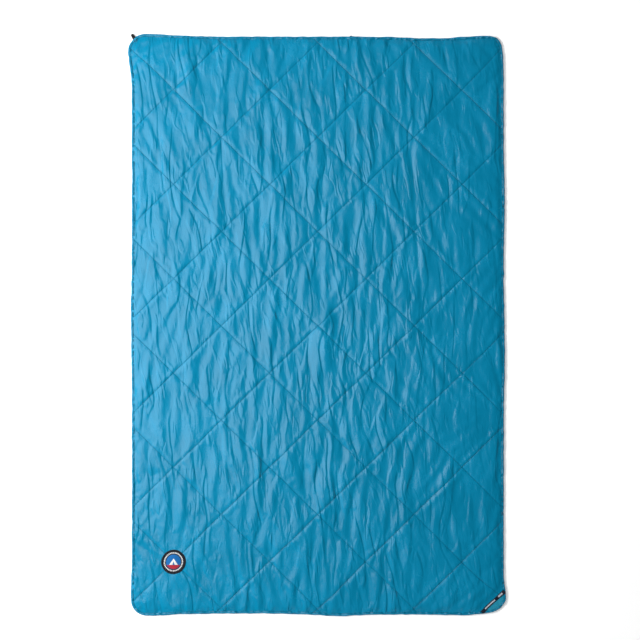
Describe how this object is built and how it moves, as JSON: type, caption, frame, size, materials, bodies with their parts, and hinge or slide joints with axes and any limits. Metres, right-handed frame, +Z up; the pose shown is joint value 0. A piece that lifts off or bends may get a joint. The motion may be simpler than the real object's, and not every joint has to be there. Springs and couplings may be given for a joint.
{
  "type": "quilted camp blanket",
  "caption": "Rectangular quilted camp blanket with diamond stitching, a bound edge, a round badge, a corner ribbon and a hanging loop; folds in half.",
  "frame": {"origin": "middle of the underside, on the surface that the blanket lies on; the fold line crosses above it", "axes": "+Z up out of the face; +Y along the length, towards the end with the hanging loop; +X across, towards the side with the corner ribbon"},
  "size_m": [1.32, 2.0448, 0.0181],
  "materials": {
    "face_nylon": "satin ripstop nylon with a soft sheen and many fine creases",
    "back_nylon": "satin nylon",
    "batting_fill": "fluffy white polyester fibre",
    "binding_nylon": "satin nylon, puckered by its stitching",
    "teal_thread": "twisted polyester thread",
    "badge_white": "satin embroidery",
    "badge_black": "close overlock stitching and dark twill",
    "badge_blue": "satin embroidery",
    "badge_red": "satin embroidery",
    "badge_cream": "satin embroidery",
    "patch_nylon": "satin nylon",
    "ribbon_black": "ribbed ribbon weave",
    "ribbon_grey": "woven bars",
    "dark_thread": "close zigzag stitching",
    "loop_braid": "round braid"
  },
  "bodies": {
    "foot_half": {"foot_back_shell": "back_nylon", "foot_batting": "batting_fill", "foot_face_shell": "face_nylon", "foot_edge_binding": "binding_nylon", "foot_binding_stitch": "teal_thread", "foot_face_quilting": "teal_thread", "foot_back_quilting": "teal_thread", "badge_base": "badge_black", "badge_border": "badge_black", "badge_rope": "badge_white", "badge_field": "badge_blue", "badge_tent": "badge_cream", "badge_ground": "badge_red", "corner_patch": "patch_nylon", "corner_ribbon": "ribbon_black", "ribbon_bar_short": "ribbon_grey", "ribbon_bar_long": "ribbon_grey", "ribbon_tack_foot": "dark_thread", "ribbon_tack_side": "dark_thread"},
    "head_half": {"head_back_shell": "back_nylon", "head_batting": "batting_fill", "head_face_shell": "face_nylon", "head_edge_binding": "binding_nylon", "head_binding_stitch": "teal_thread", "head_face_quilting": "teal_thread", "head_back_quilting": "teal_thread", "edge_tab": "ribbon_black", "loop_tack": "dark_thread"},
    "loop": {"hang_loop": "loop_braid"}
  },
  "joints": [
    {"name": "fold_in_half", "type": "hinge", "parent": "foot_half", "child": "head_half", "pos_m": [0, 0, 0.0195], "axis": [1, 0, 0], "range_deg": [0, 180]},
    {"name": "loop_swing", "type": "hinge", "parent": "head_half", "child": "loop", "pos_m": [-0.64335, 1.01013, 0.0075], "axis": [0.848, 0.5299, 0], "range_deg": [0, 85]}
  ]
}
